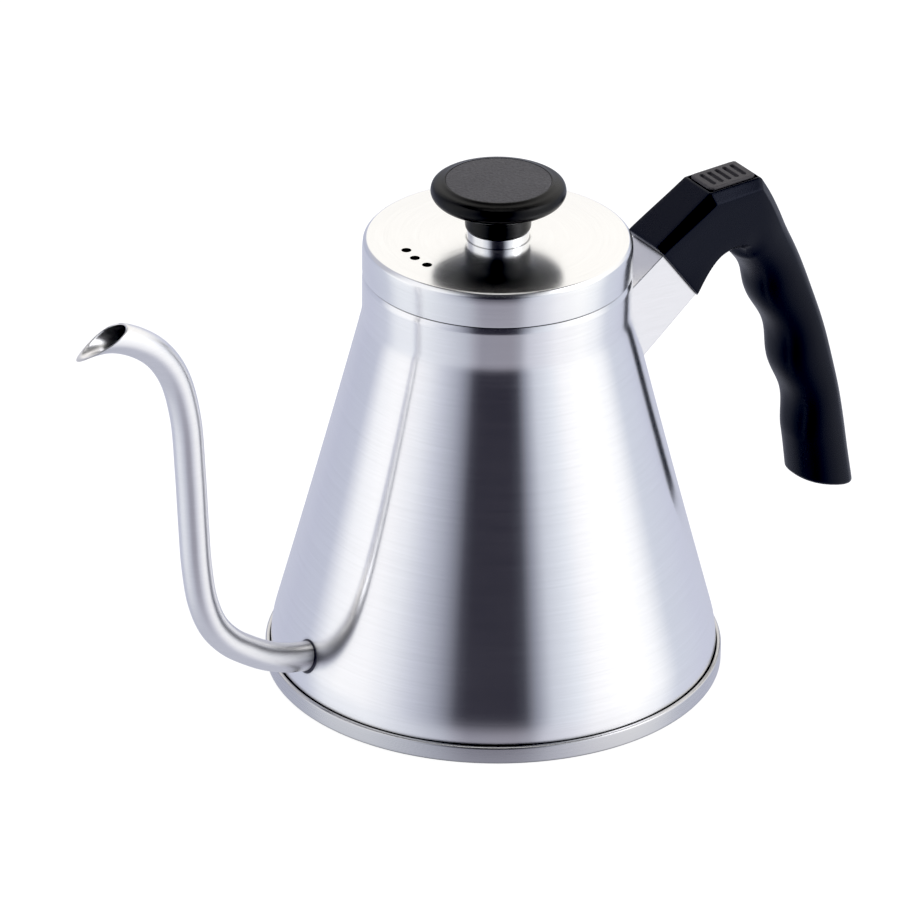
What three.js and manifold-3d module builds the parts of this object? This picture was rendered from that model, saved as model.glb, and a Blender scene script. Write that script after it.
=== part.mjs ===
// A stovetop gooseneck kettle in stainless steel, with a lift-off lid and a moulded grip.
// Millimetres, +Z up. The origin is the centre of the foot's resting plane.
// The spout points along -X, the grip along +X, and Y = 0 is the plane of symmetry.

import * as THREE from "three";
import { ParametricGeometry } from "three/addons/geometries/ParametricGeometry.js";
import { mergeVertices } from "three/addons/utils/BufferGeometryUtils.js";
import Module from "manifold-3d";

const wasm = await Module();
wasm.setup();

// ---------------------------------------------------------------- driving dimensions

const GAP = 0.3; // clearance between neighbouring pieces
const FACETS = 60; // facets round every large turned piece
const SMALL_FACETS = 20; // facets round fasteners and bores

// The foot: a rolled rim round a flat pan.
const RIM_RADIUS = 70;
const RIM_HEIGHT = 5.5;
const RIM_INNER_RADIUS = 68.5;
const RIM_LIP_RADIUS = 67.5;
const PAN_RADIUS = 67.2;
const PAN_THICKNESS = 1.2;
const PAN_WALL = 0.8;
const PAN_HEIGHT = 5;

// The wall: a slightly hollow cone, then a short upright neck.
const SHEET = 0.8;
const CONE_BOTTOM = 6.3;
const CONE_TOP = 115.6;
const NECK_RADIUS = 40.5;
const NECK_TOP = 129.9;
const FOOT_RADIUS = RIM_INNER_RADIUS - GAP;
const coneRadius = (z) => 71.17 - 0.2754 * z + 0.0001 * z * z;

// The lid: a pressed cap whose skirt is flush with the neck, and a ring that enters the mouth.
const SKIRT_BOTTOM = NECK_TOP + 0.4;
const LID_TOP = 141;
const LID_CORNER = 1.2;
const RING_RADIUS = NECK_RADIUS - SHEET - 0.45;
const RING_BOTTOM = 122;
const RING_FLANGE_RADIUS = 34;
const VENT_RADIUS = 1.5;
const VENT_CIRCLE_RADIUS = 29;
const VENT_SPACING_DEG = 11.7;

// The knob on its ferrule.
const KNOB_FACETS = 44;
const FERRULE_RADIUS = 9.4;
const KNOB_BOTTOM = 143.9;
const KNOB_TOP = 159.5;
const KNOB_RADIUS = 20.2;
const INLAY_RADIUS = 15.8;
const INLAY_THICKNESS = 1.4;
const INSERT_RADIUS = 3.4;
const INSERT_TOP = 154;

// The spout: one tube bent in the plane of symmetry and cut obliquely at its tip.
const TUBE_RADIUS = 4.55;
const TUBE_BORE = 3.95;
const TUBE_SIDES = 18;
const TUBE_STEPS = 44;
const SPOUT_ROOT = [-61, 16.6];
const SPOUT_ROOT_DEG = 8;
const SPOUT_AXIS = [
  SPOUT_ROOT, [-72, 18.2], [-80, 21], [-87, 25], [-93.4, 29.8], [-98.8, 36.5],
  [-102.4, 45.8], [-104.3, 58], [-105.2, 72], [-106.1, 90], [-107.6, 109], [-111.2, 122.8],
  [-116.7, 131.5], [-124, 137.3], [-132, 140.6], [-139, 141], [-149, 139.2],
];
const TIP_CUT_HEEL = [-126.4, 143.7];
const TIP_CUT_TOE = [-141.4, 136.6];

// The grip: a socket block over the bracket, a thumb pad, and an arm with finger hollows.
const HANDLE_DEG = 38;
const HANDLE_MOUTH = [58.35, 119.25];
const HANDLE_MOUTH_EDGES = [10.5, -14];
const HANDLE_WIDTH = 20;
const HANDLE_BEVEL = 3.2;
const PAD_LINE = [[71.4, 140.6], [90, 141.8]];
const PAD_LENGTH = 16.8;
const PAD_WIDTH = 12.2;
const PAD_RECESS = 1.6;
const HEAD_BACK = [[93, 137.4], [94, 131]];
const ARCH = [[86.6, 117.6], [80.6, 120.9], [75.6, 119.3], [71.6, 115.6]];
const ARM_BACK = [
  [90.5, 140], [95.8, 134.2], [101.4, 123.7], [107.9, 110], [113.6, 95.6], [118.5, 81.8],
  [122.4, 67.4], [125.6, 53.6], [128.1, 39.7], [130.6, 26.6], [132.8, 14],
];
const ARM_DEPTH = 17.6;
const HOLLOW_DEPTH = 1.1;
const HOLLOW_PITCH = 28.5;
const FIRST_HOLLOW = 25;
const LAST_CREST = FIRST_HOLLOW + 2.5 * HOLLOW_PITCH;
const ARM_SIDES = 22;
const ARM_STEPS = 40;
const ARM_ROUNDNESS = 2.5; // superellipse exponent of the arm's section
const END_LINE = [[111, 31.9], [130.8, 26.6]];

// The bracket: a folded box welded to the wall, and a tongue that enters the grip.
const BRACKET_WIDTH = 16.6;
const BRACKET_SHEET = 1;
const BRACKET_MOUTH = [7.2, -13];
const BRACKET_ROOT = [7.7, -15];
const BRACKET_REACH = 36;
const TONGUE_WIDTH = 12;
const TONGUE_THICKNESS = 6;
const TONGUE_BACK = -13;
const TONGUE_FRONT = 18;

// Fasteners: both screws are M4.
const SCREW_RADIUS = 1.95;
const SCREW_CLEARANCE = 2.3;
const SCREW_HEAD_RADIUS = 3.7;
const SCREW_HEAD_HEIGHT = 2.4;
const WASHER_RADIUS = 4.1;
const WASHER_THICKNESS = 0.8;
const GRIP_SCREW_X = 9;
const GRIP_SCREW_SEAT = -5;
const NUT_ACROSS_FLATS = 7;
const NUT_HEIGHT = 3.2;

// ---------------------------------------------------------------- materials

const finish = (color, roughness, metalness) =>
  new THREE.MeshStandardMaterial({ color, roughness, metalness });

const BRUSHED = finish(0xc9cbd2, 0.32, 1);
const SATIN = finish(0xd6d4d0, 0.26, 1);
const POLISHED = finish(0xe2e2e4, 0.08, 1);
const BLACK_GRIP = finish(0x15161b, 0.5, 0);
const BLACK_KNOB = finish(0x121214, 0.45, 0);
const GREY_INLAY = finish(0x3a393b, 0.8, 0);
const PAD_GREY = finish(0x2b282b, 0.7, 0);
const ZINC = finish(0xb4b7ba, 0.4, 1);
const BRASS = finish(0xb08d4a, 0.35, 1);

// ---------------------------------------------------------------- shape helpers

const points2 = (list) => list.map(([x, y]) => new THREE.Vector2(x, y));
const radians = (degrees) => THREE.MathUtils.degToRad(degrees);

// A closed [radius, height] profile turned about Z. It runs up the outside and down the inside.
function turned(profile, facets = FACETS) {
  const onAxis = profile[0][0] === 0;
  const loop = onAxis ? profile : [...profile, profile[0]];
  return new THREE.LatheGeometry(points2(loop), facets).rotateX(Math.PI / 2);
}

const disc = (radius, bottom, top, facets) =>
  turned([[0, bottom], [radius, bottom], [radius, top], [0, top]], facets);

const ring = (inner, outer, bottom, top, facets) =>
  turned([[inner, bottom], [outer, bottom], [outer, top], [inner, top]], facets);

// An [x, z] outline pushed equally to both sides of Y = 0, with its long edges rounded by a bevel.
function prism(outline, width, bevel = 0) {
  const geometry = new THREE.ExtrudeGeometry(new THREE.Shape(points2(outline)), {
    depth: width - 2 * bevel,
    bevelEnabled: bevel > 0,
    bevelThickness: bevel,
    bevelSize: bevel,
    bevelOffset: -bevel,
    bevelSegments: 3,
  });
  return geometry.translate(0, 0, bevel - width / 2).rotateX(Math.PI / 2);
}

function block(low, high) {
  const size = high.map((value, i) => value - low[i]);
  const centre = high.map((value, i) => (value + low[i]) / 2);
  return new THREE.BoxGeometry(...size).translate(...centre);
}

// From the grip's own frame (x along its socket, z square to it) to the kettle's frame.
const inGripFrame = (geometry) =>
  geometry.rotateY(-radians(HANDLE_DEG)).translate(HANDLE_MOUTH[0], 0, HANDLE_MOUTH[1]);

function solidOf(geometry) {
  const bare = new THREE.BufferGeometry();
  const source = geometry.index ? geometry.toNonIndexed() : geometry;
  bare.setAttribute("position", source.getAttribute("position"));
  const merged = mergeVertices(bare, 1e-4);
  return new wasm.Manifold(new wasm.Mesh({
    numProp: 3,
    vertProperties: merged.attributes.position.array,
    triVerts: new Uint32Array(merged.index.array),
  }));
}

function geometryOf(solid) {
  const mesh = solid.getMesh();
  const geometry = new THREE.BufferGeometry();
  geometry.setAttribute("position", new THREE.BufferAttribute(mesh.vertProperties, 3));
  geometry.setIndex(new THREE.BufferAttribute(mesh.triVerts, 1));
  geometry.computeVertexNormals();
  return geometry;
}

const cut = (geometry, ...tools) =>
  geometryOf(tools.reduce((left, tool) => left.subtract(solidOf(tool)), solidOf(geometry)));

const kettle = new THREE.Group();

function piece(name, geometry, material) {
  const mesh = new THREE.Mesh(geometry, material);
  mesh.name = name;
  kettle.add(mesh);
}

// ---------------------------------------------------------------- foot and wall

function baseRim() {
  const round = 0.9;
  return turned([
    [RIM_LIP_RADIUS, 0], [RIM_RADIUS - round, 0], [RIM_RADIUS, round],
    [RIM_RADIUS, RIM_HEIGHT - round / 2], [RIM_RADIUS - round / 2, RIM_HEIGHT],
    [RIM_INNER_RADIUS, RIM_HEIGHT], [RIM_INNER_RADIUS, 0.8], [RIM_LIP_RADIUS, 0.8],
  ]);
}

function basePlate() {
  return turned([
    [0, 0], [PAN_RADIUS - 1, 0], [PAN_RADIUS, 1], [PAN_RADIUS, PAN_HEIGHT],
    [PAN_RADIUS - PAN_WALL, PAN_HEIGHT], [PAN_RADIUS - PAN_WALL, PAN_THICKNESS],
    [0, PAN_THICKNESS],
  ]);
}

// The wall's outside from the foot's joggle up to the mouth.
function wallOutside() {
  const points = [[FOOT_RADIUS, 1.1], [FOOT_RADIUS, CONE_BOTTOM - 0.4]];
  const steps = 5;
  for (let i = 0; i <= steps; i++) {
    const z = CONE_BOTTOM + ((CONE_TOP - CONE_BOTTOM) * i) / steps;
    points.push([coneRadius(z), z]);
  }
  points.push([NECK_RADIUS, CONE_TOP + 1.6], [NECK_RADIUS, NECK_TOP]);
  return points;
}

const shifted = (points, by) => points.map(([radius, z]) => [radius + by, z]);

function bodyShell() {
  const outside = wallOutside();
  const wall = turned([...outside, ...shifted(outside, -SHEET).reverse()]);
  const bore = new THREE.CylinderGeometry(
    TUBE_RADIUS + GAP, TUBE_RADIUS + GAP, 30, SMALL_FACETS);
  bore.rotateZ(Math.PI / 2).rotateX(Math.PI / 2).rotateY(radians(SPOUT_ROOT_DEG));
  bore.translate(SPOUT_ROOT[0], 0, SPOUT_ROOT[1]);
  return cut(wall, bore);
}

// Everything inside the wall's outer face, grown by the clearance.
function wallEnvelope() {
  const outside = shifted(wallOutside(), GAP);
  return turned([[0, 0], [RIM_RADIUS, 0], ...outside.slice(2), [0, NECK_TOP]]);
}

// ---------------------------------------------------------------- spout

function spoutTube() {
  const axis = new THREE.CatmullRomCurve3(
    SPOUT_AXIS.map(([x, z]) => new THREE.Vector3(x, 0, z)));
  const section = new THREE.Shape().absarc(0, 0, TUBE_RADIUS, 0, 2 * Math.PI);
  section.holes.push(new THREE.Path().absarc(0, 0, TUBE_BORE, 0, 2 * Math.PI, true));
  const tube = new THREE.ExtrudeGeometry(section, {
    steps: TUBE_STEPS,
    curveSegments: TUBE_SIDES / 2,
    extrudePath: axis,
  });
  const [heelX, heelZ] = TIP_CUT_HEEL;
  const [toeX, toeZ] = TIP_CUT_TOE;
  const run = [(toeX - heelX) * 0.6, (toeZ - heelZ) * 0.6];
  const aboveTip = prism([
    [heelX - run[0] * 0.6, heelZ - run[1] * 0.6], [toeX + run[0], toeZ + run[1]],
    [toeX + run[0], heelZ + 10], [heelX - run[0] * 0.6, heelZ + 10],
  ], 4 * TUBE_RADIUS);
  return cut(tube, aboveTip);
}

// ---------------------------------------------------------------- lid and knob

function lidCap() {
  const inner = NECK_RADIUS - SHEET;
  const cap = turned([
    [SCREW_CLEARANCE, LID_TOP - SHEET], [inner - LID_CORNER, LID_TOP - SHEET],
    [inner, LID_TOP - SHEET - LID_CORNER], [inner, SKIRT_BOTTOM],
    [NECK_RADIUS, SKIRT_BOTTOM], [NECK_RADIUS, LID_TOP - LID_CORNER],
    [NECK_RADIUS - LID_CORNER * 0.3, LID_TOP - LID_CORNER * 0.3],
    [NECK_RADIUS - LID_CORNER, LID_TOP], [SCREW_CLEARANCE, LID_TOP],
  ]);
  const vents = [-1, 0, 1].map((step) => {
    const angle = Math.PI + radians(step * VENT_SPACING_DEG);
    return disc(VENT_RADIUS, LID_TOP - 3, LID_TOP + 1, SMALL_FACETS).translate(
      VENT_CIRCLE_RADIUS * Math.cos(angle), VENT_CIRCLE_RADIUS * Math.sin(angle), 0);
  });
  return cut(cap, ...vents);
}

function lidInnerRing() {
  const top = LID_TOP - SHEET - GAP;
  return turned([
    [RING_RADIUS - SHEET, RING_BOTTOM], [RING_RADIUS, RING_BOTTOM],
    [RING_RADIUS, top - LID_CORNER], [RING_RADIUS - LID_CORNER, top],
    [RING_FLANGE_RADIUS, top], [RING_FLANGE_RADIUS, top - SHEET],
    [RING_RADIUS - SHEET - 1, top - SHEET], [RING_RADIUS - SHEET, top - SHEET - 1],
  ]);
}

function knobBody() {
  const body = turned([
    [0, KNOB_BOTTOM], [9.2, KNOB_BOTTOM], [9.7, 144.5], [10, 149.2], [11.2, 150.8],
    [13.8, 151.8], [17.6, 152.9], [19.5, 154.2], [KNOB_RADIUS, 155.8], [KNOB_RADIUS, 156.9],
    [19.7, 158.1], [18.7, 158.8], [INLAY_RADIUS + GAP, KNOB_TOP],
    [INLAY_RADIUS + GAP, KNOB_TOP - INLAY_THICKNESS], [0, KNOB_TOP - INLAY_THICKNESS],
  ], KNOB_FACETS);
  const pocket = disc(INSERT_RADIUS + GAP, KNOB_BOTTOM - 1, INSERT_TOP + GAP, SMALL_FACETS);
  return cut(body, pocket);
}

const knobFerrule = () =>
  ring(SCREW_CLEARANCE, FERRULE_RADIUS, LID_TOP, KNOB_BOTTOM, KNOB_FACETS);

const knobInlay = () => disc(INLAY_RADIUS, KNOB_TOP - INLAY_THICKNESS, KNOB_TOP, KNOB_FACETS);

const knobInsert = () =>
  ring(SCREW_CLEARANCE, INSERT_RADIUS, KNOB_BOTTOM, INSERT_TOP, SMALL_FACETS);

// A screw pointing up: its head's upper face is at seat, and its shank reaches end.
function screw(seat, end) {
  const head = seat - SCREW_HEAD_HEIGHT;
  const body = turned([
    [0, head], [SCREW_HEAD_RADIUS - 0.8, head], [SCREW_HEAD_RADIUS, head + 0.9],
    [SCREW_HEAD_RADIUS, seat], [SCREW_RADIUS, seat], [SCREW_RADIUS, end - 0.5],
    [SCREW_RADIUS - 0.5, end], [0, end],
  ], SMALL_FACETS);
  const long = 2.1;
  const thin = 0.45;
  const deep = head + 1.3;
  return cut(body,
    block([-long, -thin, head - 1], [long, thin, deep]),
    block([-thin, -long, head - 1], [thin, long, deep]));
}

const washer = (bottom) =>
  ring(SCREW_CLEARANCE, WASHER_RADIUS, bottom, bottom + WASHER_THICKNESS, SMALL_FACETS);

// ---------------------------------------------------------------- bracket and grip

function handleBracket() {
  const outline = (inset, front) => [
    [front, BRACKET_MOUTH[0] - inset], [-BRACKET_REACH, BRACKET_ROOT[0] - inset],
    [-BRACKET_REACH, BRACKET_ROOT[1] + inset], [front, BRACKET_MOUTH[1] + inset],
  ];
  const box = inGripFrame(prism(outline(0, -GAP), BRACKET_WIDTH));
  const hollow = inGripFrame(
    prism(outline(BRACKET_SHEET, -GAP - BRACKET_SHEET), BRACKET_WIDTH - 2 * BRACKET_SHEET));
  const slotY = TONGUE_WIDTH / 2 + GAP;
  const slotZ = TONGUE_THICKNESS / 2 + GAP;
  const slot = inGripFrame(block([-4, -slotY, -slotZ], [2, slotY, slotZ]));
  return cut(box, hollow, slot, wallEnvelope());
}

function bracketTongue() {
  const y = TONGUE_WIDTH / 2;
  const z = TONGUE_THICKNESS / 2;
  const hole = ring(0, SCREW_CLEARANCE, -z - 1, z + 1, SMALL_FACETS);
  const bar = block([TONGUE_BACK, -y, -z], [TONGUE_FRONT, y, z]);
  return inGripFrame(cut(bar, hole.translate(GRIP_SCREW_X, 0, 0)));
}

// A point in the grip's own frame, as [x, z] of the kettle's frame.
function socketPoint(along, up) {
  const angle = radians(HANDLE_DEG);
  return [
    HANDLE_MOUTH[0] + along * Math.cos(angle) - up * Math.sin(angle),
    HANDLE_MOUTH[1] + along * Math.sin(angle) + up * Math.cos(angle),
  ];
}

// The socket and the head under the thumb pad, run past the mouth and cut square there.
function gripHead() {
  const overrun = -9;
  const [top, bottom] = HANDLE_MOUTH_EDGES;
  const outline = [
    socketPoint(overrun, top + 0.9), ...PAD_LINE, ...HEAD_BACK, ...ARCH,
    socketPoint(overrun, bottom - 1.2),
  ];
  return prism(outline, HANDLE_WIDTH, HANDLE_BEVEL);
}

// How deep the arm is, front to back, at a distance along its back. Each wave is one finger.
function armDepth(distance) {
  const turn = (2 * Math.PI * (distance - FIRST_HOLLOW)) / HOLLOW_PITCH;
  const wave = distance < LAST_CREST ? Math.cos(turn) : -1;
  return ARM_DEPTH - HOLLOW_DEPTH * wave;
}

// The arm: an oval section carried down its back curve, closed to a point at both ends.
function gripArm() {
  const back = new THREE.SplineCurve(points2(ARM_BACK));
  const length = back.getLength();
  const power = 2 / ARM_ROUNDNESS;
  const oval = (value) => Math.sign(value) * Math.abs(value) ** power;
  const place = (v, u, target) => {
    const along = THREE.MathUtils.clamp((u * (ARM_STEPS + 2) - 1) / ARM_STEPS, 0, 1);
    const outside = back.getPointAt(along);
    const tangent = back.getTangentAt(along);
    const half = armDepth(along * length) / 2;
    const swell = u === 0 || u === 1 ? 0 : 1;
    const inward = half - half * swell * oval(Math.cos(2 * Math.PI * v));
    const side = (-HANDLE_WIDTH / 2) * swell * oval(Math.sin(2 * Math.PI * v));
    target.set(outside.x + inward * tangent.y, side, outside.y - inward * tangent.x);
  };
  return new ParametricGeometry(place, ARM_SIDES, ARM_STEPS + 2);
}

// Moves geometry so that its x axis runs along an [x, z] line, from the line's middle.
function inLineFrame(geometry, [[x0, z0], [x1, z1]]) {
  const slope = Math.atan2(z1 - z0, x1 - x0);
  return geometry.rotateY(-slope).translate((x0 + x1) / 2, 0, (z0 + z1) / 2);
}

function handleGrip() {
  const body = geometryOf(solidOf(gripHead()).add(solidOf(gripArm())));
  const beyondMouth = block([-40, -20, -30], [0, 20, 30]);
  const tongueY = TONGUE_WIDTH / 2 + GAP;
  const tongueZ = TONGUE_THICKNESS / 2 + GAP;
  const tonguePocket = block([-1, -tongueY, -tongueZ], [TONGUE_FRONT + GAP, tongueY, tongueZ]);
  const nutY = NUT_ACROSS_FLATS / 2 + GAP;
  const nutTop = TONGUE_THICKNESS / 2 + NUT_HEIGHT + 3 * GAP;
  const nutPocket = block([-1, -nutY, 0], [GRIP_SCREW_X + nutY * 1.2, nutY, nutTop]);
  const counterbore = disc(WASHER_RADIUS + GAP, -20, GRIP_SCREW_SEAT, SMALL_FACETS);
  const screwHole = disc(SCREW_CLEARANCE, -20, 0, SMALL_FACETS);
  const tools = [
    beyondMouth, tonguePocket, nutPocket,
    counterbore.translate(GRIP_SCREW_X, 0, 0), screwHole.translate(GRIP_SCREW_X, 0, 0),
  ];
  const padX = PAD_LENGTH / 2 + GAP;
  const padY = PAD_WIDTH / 2 + GAP;
  const padRecess = inLineFrame(block([-padX, -padY, -PAD_RECESS], [padX, padY, 5]), PAD_LINE);
  const beyondEnd = inLineFrame(block([-30, -20, -30], [30, 20, 0]), END_LINE);
  return cut(body, ...tools.map(inGripFrame), padRecess, beyondEnd);
}

// A flat pad with rounded ribs across its top.
function thumbPad() {
  const half = PAD_LENGTH / 2;
  const ribs = 6;
  const pitch = (2 * half - 1.4) / ribs;
  const bottom = -PAD_RECESS + GAP;
  const top = -0.2;
  const ribHeight = 0.7;
  const outline = [[-half, bottom], [half, bottom], [half, top]];
  for (let i = ribs - 1; i >= 0; i--) {
    const start = -half + 0.7 + i * pitch;
    for (const [along, up] of [[0.85, 0], [0.7, 0.8], [0.5, 1], [0.3, 0.8], [0.15, 0]])
      outline.push([start + along * pitch, top + up * ribHeight]);
  }
  outline.push([-half, top]);
  return inLineFrame(prism(outline, PAD_WIDTH), PAD_LINE);
}

function gripNut() {
  const radius = NUT_ACROSS_FLATS / Math.sqrt(3);
  const hexagon = new THREE.CylinderGeometry(radius, radius, NUT_HEIGHT, 6);
  hexagon.rotateX(Math.PI / 2).rotateZ(Math.PI / 2);
  const hole = disc(SCREW_CLEARANCE, -NUT_HEIGHT, NUT_HEIGHT, SMALL_FACETS);
  const bottom = TONGUE_THICKNESS / 2 + GAP;
  return inGripFrame(
    cut(hexagon, hole).translate(GRIP_SCREW_X, 0, bottom + NUT_HEIGHT / 2));
}

// ---------------------------------------------------------------- assembly

const washerSeat = LID_TOP - SHEET - WASHER_THICKNESS;
const gripWasher = GRIP_SCREW_SEAT - GAP - WASHER_THICKNESS;

piece("base_rim", baseRim(), BRUSHED);
piece("base_plate", basePlate(), BRUSHED);
piece("body_shell", bodyShell(), BRUSHED);
piece("spout_tube", spoutTube(), BRUSHED);

piece("lid_cap", lidCap(), SATIN);
piece("lid_inner_ring", lidInnerRing(), SATIN);
piece("knob_ferrule", knobFerrule(), POLISHED);
piece("knob_body", knobBody(), BLACK_KNOB);
piece("knob_inlay", knobInlay(), GREY_INLAY);
piece("knob_insert", knobInsert(), BRASS);
piece("knob_screw", screw(washerSeat, INSERT_TOP - 1), ZINC);
piece("knob_washer", washer(washerSeat), ZINC);

piece("handle_bracket", handleBracket(), SATIN);
piece("bracket_tongue", bracketTongue(), ZINC);
piece("handle_grip", handleGrip(), BLACK_GRIP);
piece("thumb_pad", thumbPad(), PAD_GREY);
piece("grip_nut", gripNut(), ZINC);
piece("grip_washer", inGripFrame(washer(gripWasher).translate(GRIP_SCREW_X, 0, 0)), ZINC);
piece("grip_screw", inGripFrame(screw(gripWasher - GAP, 7).translate(GRIP_SCREW_X, 0, 0)), ZINC);

export default kettle;
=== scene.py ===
"""A stovetop gooseneck kettle: fine surfaces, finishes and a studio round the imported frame.

Lengths are millimetres in the kettle's own frame until mesh_piece() turns them into metres.
The spout points along -X, the grip along +X, +Z is up and Y = 0 is the plane of symmetry.
"""

import math

import bmesh
import bpy
import numpy as np
from mathutils import Matrix, Vector


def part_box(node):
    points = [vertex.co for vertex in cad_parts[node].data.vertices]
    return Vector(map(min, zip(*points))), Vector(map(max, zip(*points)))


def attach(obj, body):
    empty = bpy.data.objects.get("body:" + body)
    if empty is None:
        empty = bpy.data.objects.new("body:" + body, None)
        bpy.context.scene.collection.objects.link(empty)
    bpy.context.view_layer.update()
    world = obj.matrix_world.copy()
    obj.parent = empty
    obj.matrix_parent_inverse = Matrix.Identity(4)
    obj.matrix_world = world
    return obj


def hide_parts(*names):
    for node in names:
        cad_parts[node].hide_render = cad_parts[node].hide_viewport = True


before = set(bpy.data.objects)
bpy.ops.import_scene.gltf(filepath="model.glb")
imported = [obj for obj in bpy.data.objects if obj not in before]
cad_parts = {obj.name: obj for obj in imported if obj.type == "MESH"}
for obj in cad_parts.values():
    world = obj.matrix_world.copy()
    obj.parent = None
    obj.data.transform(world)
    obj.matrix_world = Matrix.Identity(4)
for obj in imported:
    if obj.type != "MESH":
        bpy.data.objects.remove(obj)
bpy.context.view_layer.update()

MM = 0.001


def reach(node):
    """Lowest and highest corners of a CAD node, in millimetres."""
    low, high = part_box(node)
    return low / MM, high / MM


# ---------------------------------------- sizes

SHEET = 0.8  # thickness of the drawn steel
PLAY = 0.3  # clearance round a piece in its pocket
SHARP = 32  # degrees of turn that make an edge sharp
SIDES = 256  # facets round a turned piece
SMALL_SIDES = 64  # facets round a tube or a fastener

RIM_RADIUS = reach("base_rim")[1].x
RIM_HEIGHT = reach("base_rim")[1].z
RIM_INNER_RADIUS = RIM_RADIUS - 1.35
RIM_LIP_RADIUS = RIM_RADIUS - 2.5
PAN_RADIUS = reach("base_plate")[1].x
PAN_HEIGHT = reach("base_plate")[1].z
PAN_THICKNESS = 1.2
PAN_RECESS = 0.35  # height of the pan's middle above the ring that it stands on
PAN_RING_WIDTH = 9

FOOT_RADIUS = RIM_INNER_RADIUS - 0.34  # leaves the dark gap round the foot
FOOT_BOTTOM = reach("body_shell")[0].z
CONE_BOTTOM = 5.7
CONE_TOP = 115.6
NECK_RADIUS = reach("lid_cap")[1].x
NECK_TOP = reach("body_shell")[1].z

SKIRT_BOTTOM = reach("lid_cap")[0].z
LID_TOP = reach("lid_cap")[1].z
LID_SHOULDER = (1.25, 1.1)  # how far in and down its slope runs
LID_LEAN = (0.22, 3.2)  # how far in the skirt leans, and how far down that starts
RING_RADIUS = reach("lid_inner_ring")[1].x
RING_BOTTOM = reach("lid_inner_ring")[0].z
RING_TOP = reach("lid_inner_ring")[1].z
RING_FLANGE_RADIUS = 34
VENT_RADIUS = 1.5
VENT_CIRCLE_RADIUS = 29
VENT_SPACING = math.radians(11.7)

FERRULE_RADIUS = reach("knob_ferrule")[1].x
KNOB_BOTTOM = reach("knob_body")[0].z
KNOB_TOP = reach("knob_inlay")[1].z
KNOB_RADIUS = reach("knob_body")[1].x
INLAY_RADIUS = reach("knob_inlay")[1].x
INLAY_BOTTOM = reach("knob_inlay")[0].z
INLAY_GAP = 0.06  # between the inlay and the knob round it
INLAY_DROP = 0.04  # of the inlay's edge below its middle
INSERT_RADIUS = reach("knob_insert")[1].x
INSERT_TOP = reach("knob_insert")[1].z

TUBE_RADIUS = reach("spout_tube")[1].y
TUBE_BORE = 3.95
TUBE_FIT = 0.05  # clearance round the tube where it passes through the wall
SPOUT_ROOT = (-61, 16.6)  # just inside the wall
SPOUT_ROOT_ANGLE = math.radians(8)
SPOUT_AXIS = [
    SPOUT_ROOT, (-72, 18.2), (-80, 21), (-87, 25), (-93.4, 29.8), (-98.8, 36.5),
    (-102.4, 45.8), (-104.3, 58), (-105.2, 72), (-106.1, 90), (-107.6, 109), (-111.2, 122.8),
    (-116.7, 131.5), (-124, 137.3), (-132, 140.6), (-139, 141), (-149, 139.2),
]
TIP_HEEL = (-126.4, 143.7)  # the oblique tip's upper and outer ends
TIP_TOE = (-141.4, 136.6)
LIP_CROWN = 0.22  # how far the tip's cut edge is rounded out
WELD_LEG = 0.7
WELD_SAG = 0.3  # how much more of it there is below the tube than at its side

HANDLE_ANGLE = math.radians(38)
HANDLE_MOUTH = (58.35, 119.25)  # where the socket's axis leaves the grip
HANDLE_MOUTH_EDGES = (10.8, -14)  # top and bottom, measured from that axis
GRIP_HALF_WIDTH = reach("handle_grip")[1].y
PAD_FRONT = (71.4, 141.0)
PAD_BACK = (89.8, 142.2)
ARCH = [(71.6, 115.6), (75.6, 119.3), (80.4, 120.7), (84.1, 119.2)]
ARM_BACK = [
    PAD_BACK, (95.3, 133.8), (101.2, 123.6), (107.9, 110), (113.6, 95.6), (118.5, 81.8),
    (122.4, 67.4), (125.6, 53.6), (128.1, 39.7), (130.6, 26.6), (132.8, 14),
]
ARM_START = 19.3  # where the arm's front leaves the arch, along its back
ARM_DEPTH = 17.6
HOLLOW_DEPTH = 1.1
HOLLOW_PITCH = 29.2
FIRST_HOLLOW = 27.2
LAST_CREST = FIRST_HOLLOW + 2.5 * HOLLOW_PITCH
ROOT_DEPTH = 1.3  # added to the arm's depth near the arch
ROOT_FADE = (23, 35)  # where that ends, along the arm's back
HEEL_DEPTH = 0.9  # added to the arm's depth at its end
HEEL_GROWTH = (LAST_CREST + 3, LAST_CREST + 26)
ARM_ROUNDNESS = 2.35  # superellipse exponent of the arm's section
END_LINE = ((111, 31.9), (130.8, 26.6))  # two points of the arm's cut end
GRIP_CHAMFERS = (2.3, 3.0, 2.0)  # back corners at the mouth, at the pad, and the front corners
# The arm's lower shine is painted shade, darkening the arm below the head.
HEAD_FADE = (104, 124)  # heights between which the arm's shine becomes the head's
MOUTH_ROUNDING = 0.5
END_ROUNDING = 1.9
PAD_LENGTH = 16.8
PAD_WIDTH = 12.2
RECESS_DEPTH = 1.6

# The bracket, tongue, grip screw and nut have their places along and up from the same axis.
BRACKET_WIDTH = 16.6
BRACKET_SHEET = 1
BRACKET_MOUTH = (7.2, -13)  # top and bottom
BRACKET_ROOT = (7.7, -15)
BRACKET_REACH = 36
TONGUE = (12, 6)  # width and thickness
TONGUE_FRONT = 18

SCREW_RADIUS = 1.95
SCREW_CLEARANCE = 2.3
SCREW_HEAD_RADIUS = reach("knob_screw")[1].x
SCREW_HEAD_HEIGHT = 2.4
THREAD_PITCH = 0.7
THREAD_DEPTH = 0.3
WASHER_RADIUS = reach("knob_washer")[1].x
WASHER_THICKNESS = 0.8
GRIP_SCREW_X = 9
GRIP_SCREW_SEAT = -5
GRIP_SCREW_END = 7
NUT_POCKET = (7.6, 7.1)  # width, and height above the tongue's middle


def cone_radius(z):
    """Outer radius of the slightly hollow cone."""
    return 71.17 - 0.2754 * z + 0.0001 * z * z


# ---------------------------------------- curves in a plane

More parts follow.
